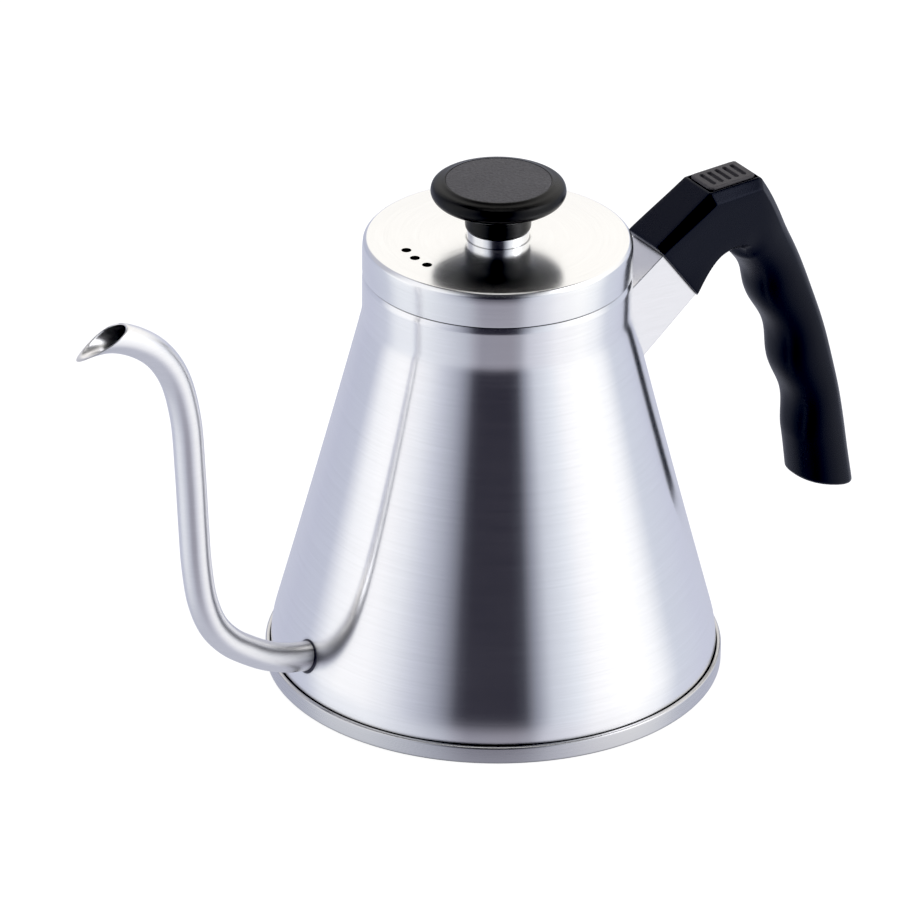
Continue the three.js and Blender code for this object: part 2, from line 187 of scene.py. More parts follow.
def rounded(outline, closed=True, step=math.radians(9)):
    """An outline whose (x, z, radius) corners become arcs. A corner without a radius stays."""
    result = []
    count = len(outline)
    for i, corner in enumerate(outline):
        point = Vector(corner[:2])
        at_end = not closed and i in (0, count - 1)
        if len(corner) < 3 or at_end:
            result.append(tuple(point))
            continue
        before = Vector(outline[i - 1][:2]) - point
        after = Vector(outline[(i + 1) % count][:2]) - point
        half = before.angle(after) / 2
        setback = min(corner[2] / math.tan(half), 0.49 * before.length, 0.49 * after.length)
        radius = setback * math.tan(half)
        inward = (before.normalized() + after.normalized()).normalized()
        centre = point + inward * (radius / math.sin(half))
        start = point + before.normalized() * setback - centre
        end = point + after.normalized() * setback - centre
        turn = math.atan2(start.x * end.y - start.y * end.x, start.dot(end))
        steps = max(3, math.ceil(abs(turn) / step))
        for k in range(steps + 1):
            swing = Matrix.Rotation(turn * k / steps, 2)
            result.append(tuple(centre + swing @ start))
    return result


def spline(points, pull=0.5, steps=16):
    """A Catmull-Rom curve through the points: pull 0.5 is centripetal and 0 is uniform."""
    knots = [np.array(p, float) for p in points]
    knots = [2 * knots[0] - knots[1]] + knots + [2 * knots[-1] - knots[-2]]
    result = []
    for p0, p1, p2, p3 in zip(knots, knots[1:], knots[2:], knots[3:]):
        gaps = [np.linalg.norm(b - a) ** pull for a, b in ((p0, p1), (p1, p2), (p2, p3))]
        slope1 = (p1 - p0) / gaps[0] - (p2 - p0) / (gaps[0] + gaps[1]) + (p2 - p1) / gaps[1]
        slope2 = (p2 - p1) / gaps[1] - (p3 - p1) / (gaps[1] + gaps[2]) + (p3 - p2) / gaps[2]
        for k in range(steps):
            t = k / steps
            result.append(
                (2 * t**3 - 3 * t**2 + 1) * p1
                + (t**3 - 2 * t**2 + t) * gaps[1] * slope1
                + (3 * t**2 - 2 * t**3) * p2
                + (t**3 - t**2) * gaps[1] * slope2)
    result.append(knots[-2])
    return np.array(result)


class Path:
    """A polyline read by its arc length."""

    def __init__(self, points):
        self.points = np.array(points, float)
        steps = np.linalg.norm(np.diff(self.points, axis=0), axis=1)
        self.lengths = np.concatenate([[0], np.cumsum(steps)])
        self.length = self.lengths[-1]

    def at(self, length):
        return np.array([np.interp(length, self.lengths, column) for column in self.points.T])

    def tangent(self, length):
        step = 0.6
        ahead = self.at(min(length + step, self.length))
        behind = self.at(max(length - step, 0))
        return (ahead - behind) / np.linalg.norm(ahead - behind)

    def nearest(self, point):
        """Arc length at the vertex that is nearest to a point."""
        gaps = np.linalg.norm(self.points - np.array(point, float), axis=1)
        return self.lengths[int(gaps.argmin())]

    def crossing(self, line):
        """Arc length where the path crosses an endless line given by two points."""
        a, b = np.array(line, float)
        across = np.array([a[1] - b[1], b[0] - a[0]])
        sides = (self.points - a) @ across
        i = int(np.nonzero(np.diff(np.sign(sides)))[0][-1])
        share = sides[i] / (sides[i] - sides[i + 1])
        return self.lengths[i] + share * (self.lengths[i + 1] - self.lengths[i])


def ease(value, start, end):
    """0 before start, 1 after end, and a smooth step between them."""
    t = np.clip((value - start) / (end - start), 0, 1)
    return t * t * (3 - 2 * t)


# ---------------------------------------- meshes

def mesh_piece(name, vertices, faces, sharp=SHARP):
    """A smooth-shaded object, creased where its surface turns by more than sharp degrees."""
    mesh = bpy.data.meshes.new(name)
    mesh.from_pydata([tuple(np.array(v, float) * MM) for v in vertices], [], faces)
    piece = bpy.data.objects.new(name, mesh)
    bpy.context.scene.collection.objects.link(piece)
    shade(piece, sharp)
    return piece


def shade(piece, sharp=SHARP):
    """Merges doubled points, turns the faces outward and creases the sharp edges."""
    shell = bmesh.new()
    shell.from_mesh(piece.data)
    bmesh.ops.remove_doubles(shell, verts=shell.verts, dist=1e-7)
    bmesh.ops.dissolve_degenerate(shell, edges=shell.edges, dist=1e-7)
    bmesh.ops.recalc_face_normals(shell, faces=shell.faces)
    for face in shell.faces:
        face.smooth = True
    for edge in shell.edges:
        edge.smooth = edge.is_manifold and edge.calc_face_angle(0) < math.radians(sharp)
    shell.to_mesh(piece.data)
    shell.free()


def bands(rings, count, joined=False):
    """The faces between neighbouring rings of count points. Joined rings go round to the first."""
    faces = []
    for i in range(rings if joined else rings - 1):
        low, high = i * count, (i + 1) % rings * count
        for k in range(count):
            after = (k + 1) % count
            faces.append((low + k, low + after, high + after, high + k))
    return faces


def lathe(name, profile, sides=SIDES):
    """A closed [radius, height] loop turned about Z. What lies on the axis needs no face."""
    turns = np.linspace(0, 2 * math.pi, sides, endpoint=False)
    vertices = [(r * math.cos(a), r * math.sin(a), z) for a in turns for r, z in profile]
    count = len(profile)
    on_axis = {k for k, (radius, _) in enumerate(profile) if radius == 0}
    faces = [face for face in bands(sides, count, joined=True)
             if not {vertex % count for vertex in face} <= on_axis]
    return mesh_piece(name, vertices, faces)


def tunnel(name, rings):
    """A skin over rings of points that lead back to the first, as round a pipe's wall."""
    vertices = [point for ring in rings for point in ring]
    faces = bands(len(rings), len(rings[0]), joined=True)
    return mesh_piece(name, vertices, faces, sharp=60)


def loft(name, rings, sharp=SHARP):
    """A skin over rings of points, closed by a flat face at each end."""
    count = len(rings[0])
    vertices = [point for ring in rings for point in ring]
    ends = [tuple(range(count)), tuple(range(len(vertices) - count, len(vertices)))]
    return mesh_piece(name, vertices, bands(len(rings), count) + ends, sharp)


def block(low, high):
    """A box that cuts, between two corners."""
    corners = [(x, y, z) for x in (low[0], high[0]) for y in (low[1], high[1])
               for z in (low[2], high[2])]
    faces = [(0, 1, 3, 2), (4, 6, 7, 5), (0, 4, 5, 1), (2, 3, 7, 6), (0, 2, 6, 4), (1, 5, 7, 3)]
    return mesh_piece("tool", corners, faces)


def pin(radius, bottom, top):
    """A cylinder that cuts, round the Z axis."""
    return lathe("tool", [(0, bottom), (radius, bottom), (radius, top), (0, top)], SMALL_SIDES)


def moved(piece, matrix):
    """Carries a piece's mesh by a matrix whose offset is in millimetres."""
    metres = matrix.copy()
    metres.translation = matrix.translation * MM
    piece.data.transform(metres)
    return piece


def shifted(piece, x=0, y=0, z=0):
    return moved(piece, Matrix.Translation((x, y, z)))


def cut(piece, *tools):
    """Cuts the tools from a piece and removes them."""
    for tool in tools:
        change = piece.modifiers.new("cut", "BOOLEAN")
        change.operation = "DIFFERENCE"
        change.solver = "EXACT"
        change.object = tool
    bpy.context.view_layer.update()
    graph = bpy.context.evaluated_depsgraph_get()
    mesh = bpy.data.meshes.new_from_object(piece.evaluated_get(graph))
    piece.modifiers.clear()
    piece.data = mesh
    for tool in tools:
        bpy.data.objects.remove(tool)
    shade(piece)
    return piece


def frame_at(x, z, angle):
    """A frame in the plane of symmetry, with its X axis tilted up by an angle."""
    return Matrix.Translation((x, 0, z)) @ Matrix.Rotation(-angle, 4, "Y")


IN_GRIP = frame_at(*HANDLE_MOUTH, HANDLE_ANGLE)
PAD_MIDDLE = ((PAD_FRONT[0] + PAD_BACK[0]) / 2, (PAD_FRONT[1] + PAD_BACK[1]) / 2)
PAD_SLOPE = math.atan2(PAD_BACK[1] - PAD_FRONT[1], PAD_BACK[0] - PAD_FRONT[0])
ON_PAD = frame_at(*PAD_MIDDLE, PAD_SLOPE)


def socket_point(along, up):
    """A point of the grip's own frame as (x, z) of the kettle's frame."""
    point = IN_GRIP @ Vector((along, 0, up))
    return point.x, point.z


# ---------------------------------------- foot and wall

def base_rim():
    return lathe("base_rim_fine", rounded([
        (RIM_LIP_RADIUS, 0), (RIM_RADIUS, 0, 0.6), (RIM_RADIUS, RIM_HEIGHT, 1.15),
        (RIM_INNER_RADIUS, RIM_HEIGHT, 0.15), (RIM_INNER_RADIUS, SHEET), (RIM_LIP_RADIUS, SHEET),
    ]))


def base_plate():
    inner = PAN_RADIUS - SHEET
    ring = PAN_RADIUS - PAN_RING_WIDTH
    return lathe("base_plate_fine", rounded([
        (0, PAN_RECESS), (ring - 1.2, PAN_RECESS, 0.6), (ring, 0, 0.6), (PAN_RADIUS, 0, 1.2),
        (PAN_RADIUS, PAN_HEIGHT, 0.25), (inner, PAN_HEIGHT, 0.25), (inner, PAN_THICKNESS, 0.8),
        (0, PAN_THICKNESS),
    ]))


def wall_outside():
    """From the foot up to the mouth. The wall steepens just above the foot, and its rolled
    edge turns in a little under the lid."""
    hem, hem_height = cone_radius(CONE_BOTTOM) - FOOT_RADIUS - 0.05, 9.5
    heights = np.linspace(CONE_BOTTOM, CONE_TOP - 5, 60)
    steeper = [hem * max(0, 1 - (z - CONE_BOTTOM) / hem_height) ** 2 for z in heights]
    return [
        (FOOT_RADIUS, FOOT_BOTTOM),
        *[(cone_radius(z) - by, z) for z, by in zip(heights, steeper)],
        (NECK_RADIUS, CONE_TOP + 1.0, 18), (NECK_RADIUS, NECK_TOP - 1.7, 3),
        (NECK_RADIUS - 0.55, NECK_TOP, 0.1),
    ]


def body_shell():
    outside = wall_outside()
    inside = [(corner[0] - SHEET, *corner[1:]) for corner in reversed(outside)]
    inside[:2] = [(NECK_RADIUS - SHEET, NECK_TOP), (NECK_RADIUS - SHEET, NECK_TOP - 2)]
    wall = lathe("body_shell_fine", rounded(outside + inside))
    bore = pin(TUBE_RADIUS + TUBE_FIT, -15, 15)
    along = Matrix.Rotation(math.pi / 2 + SPOUT_ROOT_ANGLE, 4, "Y")
    moved(bore, Matrix.Translation((SPOUT_ROOT[0], 0, SPOUT_ROOT[1])) @ along)
    return cut(wall, bore)


# ---------------------------------------- spout

def tube_point(path, length, radius, turn):
    """A point on a tube round a path in the plane of symmetry. Turn 0 is the side that faces up."""
    centre = path.at(length)
    tangent = path.tangent(length)
    up = np.array([tangent[1], -tangent[0]])
    offset = centre + radius * math.cos(turn) * up
    return offset[0], radius * math.sin(turn), offset[1]


def spout_tube():
    path = Path(spline(SPOUT_AXIS))
    heel, toe = np.array(TIP_HEEL), np.array(TIP_TOE)
    lift = np.array([toe[1] - heel[1], heel[0] - toe[0]]) / np.linalg.norm(toe - heel)
    turns = np.linspace(0, 2 * math.pi, SMALL_SIDES, endpoint=False)
    tip_start = 0.8 * path.length
    search = np.linspace(tip_start, path.length, 400)

    def reach_of(radius, turn):
        """How far along the tube one side line gets before it meets the oblique tip."""
        points = np.array([tube_point(path, s, radius, turn) for s in search])
        heights = (points[:, ::2] - heel) @ lift
        return float(search[int(np.argmax(heights > 0))])

    before_tip = np.linspace(0, tip_start, 150)
    rings = []
    for radius in (TUBE_RADIUS, TUBE_BORE):
        ends = [reach_of(radius, turn) for turn in turns]
        wall = [[tube_point(path, s, radius, turn) for turn in turns] for s in before_tip]
        for share in np.linspace(0, 1, 40)[1:]:
            lengths = [tip_start + share * (end - tip_start) for end in ends]
            wall.append([tube_point(path, s, radius, turn) for s, turn in zip(lengths, turns)])
        rings.append(wall)
    outer, inner = rings
    crown = [
        tuple((np.array(a) + np.array(b)) / 2 + LIP_CROWN * np.array([lift[0], 0, lift[1]]))
        for a, b in zip(outer[-1], inner[-1])]
    return tunnel("spout_tube_fine", outer + [crown] + inner[::-1])


def spout_weld():
    """The narrow fused fillet where the tube meets the wall. It is heavier below the tube."""
    along = np.array([-math.cos(SPOUT_ROOT_ANGLE), 0, math.sin(SPOUT_ROOT_ANGLE)])
    up = np.array([math.sin(SPOUT_ROOT_ANGLE), 0, math.cos(SPOUT_ROOT_ANGLE)])
    root = np.array([SPOUT_ROOT[0], 0, SPOUT_ROOT[1]])

    def on_wall(radius, turn, out):
        """Where a line along the tube, at a radius from its axis, has left the wall by out."""
        start = root + radius * (math.cos(turn) * up + np.array([0, math.sin(turn), 0]))
        low, high = 0.0, 20.0
        for _ in range(40):
            middle = (low + high) / 2
            point = start + middle * along
            if math.hypot(point[0], point[1]) < cone_radius(point[2]):
                low = middle
            else:
                high = middle
        return start + (low + out) * along

    rings = []
    bite = 0.1  # how far the weld reaches into the tube
    for turn in np.linspace(0, 2 * math.pi, 96, endpoint=False):
        leg = WELD_LEG - WELD_SAG * math.cos(turn)
        inner = on_wall(TUBE_RADIUS - bite, turn, -0.4)
        foot = on_wall(TUBE_RADIUS + leg, turn, -0.05)
        crest = on_wall(TUBE_RADIUS, turn, leg)
        crest_in = on_wall(TUBE_RADIUS - bite, turn, leg - bite)
        corner = on_wall(TUBE_RADIUS, turn, 0)
        bulge = [
            (1 - t) ** 2 * foot + 2 * t * (1 - t) * (0.35 * corner + 0.325 * (foot + crest))
            + t**2 * crest for t in np.linspace(0, 1, 7)]
        rings.append([inner, *bulge, crest_in])
    return tunnel("spout_weld", rings)


# ---------------------------------------- lid and knob

def lid_cap():
    inner = NECK_RADIUS - SHEET
    under = LID_TOP - SHEET
    cap = lathe("lid_cap_fine", rounded([
        (SCREW_CLEARANCE, under), (inner, under, 1.4), (inner, SKIRT_BOTTOM, 0.2),
        (NECK_RADIUS, SKIRT_BOTTOM, 0.3), (NECK_RADIUS, LID_TOP - LID_LEAN[1], 17),
        (NECK_RADIUS - LID_LEAN[0], LID_TOP - LID_SHOULDER[1], 1.2),
        (NECK_RADIUS - LID_SHOULDER[0], LID_TOP, 0.8), (SCREW_CLEARANCE, LID_TOP),
    ]))
    vents = []
    for step in (-1, 0, 1):
        turn = math.pi + step * VENT_SPACING
        vent = pin(VENT_RADIUS, LID_TOP - 3, LID_TOP + 1)
        vents.append(shifted(
            vent, VENT_CIRCLE_RADIUS * math.cos(turn), VENT_CIRCLE_RADIUS * math.sin(turn)))
    return cut(cap, *vents)


def lid_inner_ring():
    inner = RING_RADIUS - SHEET
    return lathe("lid_inner_ring_fine", rounded([
        (inner, RING_BOTTOM, 0.3), (RING_RADIUS, RING_BOTTOM, 0.3), (RING_RADIUS, RING_TOP, 1.8),
        (RING_FLANGE_RADIUS, RING_TOP, 0.3), (RING_FLANGE_RADIUS, RING_TOP - SHEET, 0.3),
        (inner, RING_TOP - SHEET, 1.0),
    ]))


def knob_ferrule():
    return lathe("knob_ferrule_fine", rounded([
        (SCREW_CLEARANCE, LID_TOP), (FERRULE_RADIUS, LID_TOP, 0.05),
        (FERRULE_RADIUS, KNOB_BOTTOM, 0.2), (SCREW_CLEARANCE, KNOB_BOTTOM),
    ]))


def knob_body():
    flare = spline([
        (9.4, KNOB_BOTTOM + 0.15), (9.8, KNOB_BOTTOM + 0.8), (9.95, KNOB_BOTTOM + 3),
        (10.2, KNOB_BOTTOM + 5.2), (11.3, KNOB_TOP - 8.7), (13.9, KNOB_TOP - 7.7),
        (KNOB_RADIUS - 2.7, KNOB_TOP - 6.6), (KNOB_RADIUS - 0.8, KNOB_TOP - 5.3),
        (KNOB_RADIUS, KNOB_TOP - 3.8), (KNOB_RADIUS - 0.05, KNOB_TOP - 2.5),
        (KNOB_RADIUS - 0.5, KNOB_TOP - 1.5), (KNOB_RADIUS - 1.5, KNOB_TOP - 0.85),
        (KNOB_RADIUS - 3, KNOB_TOP - 0.4), (INLAY_RADIUS + 0.5, KNOB_TOP - INLAY_DROP),
    ], steps=8)
    hole = INLAY_RADIUS + INLAY_GAP
    pocket = INSERT_RADIUS + PLAY
    return lathe("knob_body_fine", [
        (pocket, KNOB_BOTTOM), (9, KNOB_BOTTOM), *[tuple(p) for p in flare],
        *rounded([(hole, KNOB_TOP, 0.1), (hole, INLAY_BOTTOM), (0, INLAY_BOTTOM)], closed=False),
        (0, INSERT_TOP + PLAY), (pocket, INSERT_TOP + PLAY),
    ])


def knob_inlay():
    return lathe("knob_inlay_fine", rounded([
        (0, INLAY_BOTTOM), (INLAY_RADIUS, INLAY_BOTTOM),
        (INLAY_RADIUS, KNOB_TOP - INLAY_DROP, 0.12), (INLAY_RADIUS * 0.6, KNOB_TOP), (0, KNOB_TOP),
    ]))


def washer(name, bottom):
    top = bottom + WASHER_THICKNESS
    return lathe(name, rounded([
        (SCREW_CLEARANCE, bottom, 0.1), (WASHER_RADIUS, bottom, 0.15), (WASHER_RADIUS, top, 0.15),
        (SCREW_CLEARANCE, top, 0.1),
    ]), SMALL_SIDES * 2)


def screw(name, seat, end):
    """A cross-head screw that points up, with its head's upper face at seat and its tip at end."""
    head = seat - SCREW_HEAD_HEIGHT
    thread = []
    for i in range(int((end - 1 - seat) / THREAD_PITCH)):
        low = seat + 0.4 + i * THREAD_PITCH
        thread += [(SCREW_RADIUS, low), (SCREW_RADIUS - THREAD_DEPTH, low + THREAD_PITCH / 2)]
    body = lathe(name, [
        *rounded([(0, head), (SCREW_HEAD_RADIUS, head, 1.1), (SCREW_HEAD_RADIUS, seat, 0.2),
                  (SCREW_RADIUS, seat)], closed=False),
        *thread, (SCREW_RADIUS - 0.5, end), (0, end),
    ], SMALL_SIDES * 2)
    long, thin, deep = 2.1, 0.45, head + 1.3
    return cut(
        body,
        block((-long, -thin, head - 1), (long, thin, deep)),
        block((-thin, -long, head - 1), (thin, long, deep)))


# ---------------------------------------- bracket

def box_ring(x, top, bottom, half_width, corner):
    """A rounded rectangle across the socket's axis, at x along it, in the kettle's frame."""
    outline = rounded([
        (half_width, top, corner), (-half_width, top, corner),
        (-half_width, bottom, corner), (half_width, bottom, corner),
    ])
    return [tuple(IN_GRIP @ Vector((x, y, z))) for y, z in outline]


def handle_bracket():
    def box(name, inset, front, corner):
        half = BRACKET_WIDTH / 2 - inset
        (root_top, root_bottom), (top, bottom) = BRACKET_ROOT, BRACKET_MOUTH
        return loft(name, [
            box_ring(-BRACKET_REACH, root_top - inset, root_bottom + inset, half, corner),
            box_ring(front, top - inset, bottom + inset, half, corner),
        ])

    outside = box("handle_bracket_fine", 0, -0.1, 0.35)
    hollow = box("tool", BRACKET_SHEET, -0.1 - BRACKET_SHEET, 0.2)
    slot_y, slot_z = TONGUE[0] / 2 + PLAY, TONGUE[1] / 2 + PLAY
    slot = moved(block((-4, -slot_y, -slot_z), (2, slot_y, slot_z)), IN_GRIP)
    near = [(corner[0] + 0.06, *corner[1:]) for corner in wall_outside()[1:]]
    inside_wall = lathe("tool", [(0, near[0][1]), *rounded(near, closed=False), (0, NECK_TOP)])
    return cut(outside, hollow, slot, inside_wall)


# ---------------------------------------- grip

def arm_depth(length):
    """How deep the arm is, front to back, at a distance along its back. Each wave is one finger."""
    wave = math.cos(2 * math.pi * (length - FIRST_HOLLOW) / HOLLOW_PITCH)
    if length > LAST_CREST:
        wave = -1
    root = ROOT_DEPTH * (1 - ease(length, *ROOT_FADE))
    heel = HEEL_DEPTH * ease(length, *HEEL_GROWTH)
    return ARM_DEPTH - HOLLOW_DEPTH * wave + root + heel


def arm_front(back, length):
    """The point of the arm's front that faces a point of its back."""
    point = back.at(length)
    tangent = back.tangent(length)
    return point + arm_depth(length) * np.array([tangent[1], -tangent[0]])


def grip_section(half_depth, half_width, chamfer_out, chamfer_in):
    """Half of a chamfered rectangle, from the back's middle to the front's middle."""
    soft = 0.7
    corners = [
        (half_depth, 0), (half_depth, half_width - chamfer_out, soft),
        (half_depth - chamfer_out, half_width, soft), (-half_depth + chamfer_in, half_width, soft),
        (-half_depth, half_width - chamfer_in, soft), (-half_depth, 0),
    ]
    bends = rounded(corners, closed=False, step=math.radians(16))
    result = [np.array(bends[0])]
    for a, b in zip(bends, bends[1:]):
        a, b = np.array(a), np.array(b)
        parts = 5 if np.linalg.norm(b - a) > soft else 1
        result += [a + (b - a) * (k + 1) / parts for k in range(parts)]
    return result


def grip_ring(outer, inner, chamfer_out, chamfer_in, roundness, inset):
    """One closed section between a point of the back and one of the front, drawn in by inset."""
    middle = (outer + inner) / 2
    across = (outer - inner) / np.linalg.norm(outer - inner)
    half_depth = np.linalg.norm(outer - inner) / 2
    shrink_depth = 1 - inset / half_depth
    shrink_width = 1 - inset / GRIP_HALF_WIDTH
    half = []
    for x, y in grip_section(half_depth, GRIP_HALF_WIDTH, chamfer_out, chamfer_in):
        turn = math.atan2(y, x)
        oval = (abs(math.cos(turn) / half_depth) ** ARM_ROUNDNESS
                + abs(math.sin(turn) / GRIP_HALF_WIDTH) ** ARM_ROUNDNESS) ** (-1 / ARM_ROUNDNESS)
        size = (1 - roundness) * math.hypot(x, y) + roundness * oval
        half.append((size * math.cos(turn) * shrink_depth, size * math.sin(turn) * shrink_width))
    loop = half + [(x, -y) for x, y in reversed(half[1:-1])]
    return [(middle[0] + x * across[0], y, middle[1] + x * across[1]) for x, y in loop]


def grip_rings():
    """Sections from the mouth, over the arch and down the arm to its cut end."""
    back = Path(spline(ARM_BACK, pull=0.0, steps=24))
    mouth_top = socket_point(0, HANDLE_MOUTH_EDGES[0])
    mouth_bottom = socket_point(0, HANDLE_MOUTH_EDGES[1])
    beyond_corner = [tuple(back.at(s)) for s in np.arange(5, back.length, 0.5)]
    outer = Path(rounded(
        [mouth_top, (*PAD_FRONT, 0.9), (*PAD_BACK, 1.6), *beyond_corner], closed=False))
    fronts = [tuple(arm_front(back, s)) for s in np.arange(ARM_START + 2, back.length, 2)]
    inner = Path(spline([mouth_bottom, *ARCH, *fronts], steps=10))

    key_step, clear_of_end = 6, 22
    arm_keys = np.arange(ARM_START, back.crossing(END_LINE) - clear_of_end, key_step)
    pairs = [
        (mouth_top, mouth_bottom), (PAD_FRONT, ARCH[1]), (PAD_BACK, ARCH[2]),
        (ARM_BACK[1], ARCH[3]), *[(back.at(s), arm_front(back, s)) for s in arm_keys],
    ]
    outer_keys = [outer.nearest(a) for a, _ in pairs] + [outer.crossing(END_LINE)]
    inner_keys = [inner.nearest(b) for _, b in pairs] + [inner.crossing(END_LINE)]
    full = outer_keys[-1]
    shares = np.array(outer_keys) / full
    pad_front, pad_back = shares[[1, 2]]
    oval_from, oval_to = pad_back + 0.01, shares[4] + 0.05
    mouth_chamfer, pad_chamfer, front_chamfer = GRIP_CHAMFERS

    def ring(share, inset=0.0):
        a = outer.at(np.interp(share, shares, outer_keys))
        b = inner.at(np.interp(share, shares, inner_keys))
        chamfer = mouth_chamfer + (pad_chamfer - mouth_chamfer) * ease(share, 0, pad_front)
        return grip_ring(a, b, chamfer, front_chamfer, ease(share, oval_from, oval_to), inset)

    rings = []
    for turn in np.radians([0, 30, 60]):
        from_mouth = MOUTH_ROUNDING * (1 - math.cos(turn)) / full
        rings.append(ring(from_mouth, MOUTH_ROUNDING * (1 - math.sin(turn))))
    even = np.linspace(0.006, 1 - END_ROUNDING / full, 190)
    at_corners = [c + d for c in (pad_front, pad_back) for d in np.linspace(-0.012, 0.012, 9)]
    for share in sorted([*even, *at_corners]):
        rings.append(ring(share))
    for turn in np.radians(np.linspace(10, 90, 9)):
        before_end = END_ROUNDING * (1 - math.sin(turn)) / full
        rings.append(ring(1 - before_end, END_ROUNDING * (1 - math.cos(turn))))
    return rings


def grip_pockets():
    """What is cut from the grip: places for the tongue, nut, screw and washer, and for the pad."""
    tongue_y, tongue_z = TONGUE[0] / 2 + PLAY, TONGUE[1] / 2 + PLAY
    nut_y, nut_z = NUT_POCKET[0] / 2, NUT_POCKET[1]
    nut_end = GRIP_SCREW_X + NUT_POCKET[0] * 0.6
    before_mouth, below_grip, above_pad = -3, -20, 6
    pockets = [
        block((before_mouth, -tongue_y, -tongue_z), (TONGUE_FRONT + PLAY, tongue_y, tongue_z)),
        block((before_mouth, -nut_y, 0), (nut_end, nut_y, nut_z)),
        shifted(pin(WASHER_RADIUS + PLAY, below_grip, GRIP_SCREW_SEAT), GRIP_SCREW_X),
        shifted(pin(SCREW_CLEARANCE, below_grip, 0), GRIP_SCREW_X),
    ]
    recess_x, recess_y = PAD_LENGTH / 2 + PLAY, PAD_WIDTH / 2 + PLAY
    recess = block((-recess_x, -recess_y, -RECESS_DEPTH), (recess_x, recess_y, above_pad))
    return [*[moved(pocket, IN_GRIP) for pocket in pockets], moved(recess, ON_PAD)]


def handle_grip():
    return cut(loft("handle_grip_fine", grip_rings(), sharp=40), *grip_pockets())


def thumb_pad():
    """A soft slab with rounded corners and five grooves across it."""
    grooves, pitch, groove_half_width, groove_depth, groove_reach = 5, 2.75, 0.72, 0.9, 3.4
    half_x, half_y, corner = PAD_LENGTH / 2, PAD_WIDTH / 2, 2.0
    top, bottom, edge = 0.85, -RECESS_DEPTH + PLAY, 0.7
    first = -pitch * (grooves - 1) / 2

    def height(x, y):
        step = min(grooves - 1, max(0, round((x - first) / pitch)))
        gap = math.hypot(x - first - step * pitch, max(abs(y) - groove_reach, 0))
        dip = groove_depth * max(0.0, 1 - (gap / groove_half_width) ** 2) ** 0.5
        past_x, past_y = abs(x) - half_x + corner, abs(y) - half_y + corner
        rim = corner - math.hypot(max(past_x, 0), max(past_y, 0)) - min(max(past_x, past_y), 0)
        if rim < 0:
            return bottom + 0.01
        fall = edge - math.sqrt(edge**2 - (edge - rim) ** 2) if rim < edge else 0
        return top - dip - fall

    columns, rows = 150, 104
    xs = np.linspace(-half_x, half_x, columns)
    ys = np.linspace(-half_y, half_y, rows)
    vertices = [(x, y, height(x, y)) for x in xs for y in ys]
    faces = [(i * rows + j, (i + 1) * rows + j, (i + 1) * rows + j + 1, i * rows + j + 1)
             for i in range(columns - 1) for j in range(rows - 1)]
    border = ([i * rows for i in range(columns)]
              + [(columns - 1) * rows + j for j in range(1, rows)]
              + [i * rows + rows - 1 for i in range(columns - 2, -1, -1)]
              + [j for j in range(rows - 2, 0, -1)])
    start = len(vertices)
    vertices += [(vertices[v][0], vertices[v][1], bottom) for v in border]
    count = len(border)
    for k in range(count):
        after = (k + 1) % count
        faces.append((border[after], border[k], start + k, start + after))
    faces.append(tuple(range(start, start + count)))
    return moved(mesh_piece("thumb_pad_fine", vertices, faces, sharp=50), ON_PAD)


# ---------------------------------------- material helpers

class Nodes:
    """A short way to write a node tree. Each call adds a node and returns one of its outputs."""

    def __init__(self, tree):
        self.tree = tree

    def feed(self, socket, value):
        """Links an input to another node's output, or gives it a fixed value."""
        if isinstance(value, bpy.types.NodeSocket):
            self.tree.links.new(value, socket)
        else:
            socket.default_value = value

    def add(self, kind, settings=None, output=0, **inputs):
        """Inputs go by name, with _ for a space, or by place, as i0, i1 and so on."""
        node = self.tree.nodes.new(kind)
        for key, value in (settings or {}).items():
            setattr(node, key, value)
        for key, value in inputs.items():
            place = int(key[1:]) if key[1:].isdigit() else key.replace("_", " ")
            self.feed(node.inputs[place], value)
        return node.outputs[output] if node.outputs else None

    def math(self, operation, a, b=0.0, c=0.0):
        return self.add("ShaderNodeMath", {"operation": operation}, i0=a, i1=b, i2=c)

    def span(self, value, low, high, to_low, to_high, kind="LINEAR"):
        return self.add(
            "ShaderNodeMapRange", {"interpolation_type": kind}, i0=value, i1=low, i2=high,
            i3=to_low, i4=to_high)

    def mix(self, share, a, b):
        """Two colours mixed. Inputs 6 and 7 and output 2 are the node's colour sockets."""
        return self.add("ShaderNodeMix", {"data_type": "RGBA"}, output=2, i0=share, i6=a, i7=b)

    def split(self, vector):
        """The x, y and z of a vector."""
        node = self.tree.nodes.new("ShaderNodeSeparateXYZ")
        self.feed(node.inputs[0], vector)
        return node.outputs

    def noise(self, vector, scale, detail, roughness=0.5):
        return self.add("ShaderNodeTexNoise", Vector=vector, Scale=scale, Detail=detail,
                        Roughness=roughness)

    def ramp(self, share, stops):
        """A colour ramp through (place, colour) stops."""
        node = self.tree.nodes.new("ShaderNodeValToRGB")
        self.tree.links.new(share, node.inputs[0])
        elements = node.color_ramp.elements
        while len(elements) < len(stops):
            elements.new(1.0)
        for element, (place, colour) in zip(elements, stops):
            element.position = place
            element.color = colour
        return node.outputs[0]


def linear(*levels):
    """Red, green and blue display levels from 0 to 255 as a linear colour."""
    shares = [level / 255 for level in levels]
    return (*[s / 12.92 if s < 0.04045 else ((s + 0.055) / 1.055) ** 2.4 for s in shares], 1.0)


def scaled(colour, factor, lift=0.0):
    """A lighter or darker version of a colour."""
    return (*[min(1.0, level * factor + lift) for level in colour[:3]], 1.0)


def new_material(name):
    material = bpy.data.materials.new(name)
    material.use_nodes = True
    material.node_tree.nodes.clear()
    return material, Nodes(material.node_tree)


def surface(nodes, **inputs):
    shader = nodes.add("ShaderNodeBsdfPrincipled", **inputs)
    nodes.add("ShaderNodeOutputMaterial", Surface=shader)


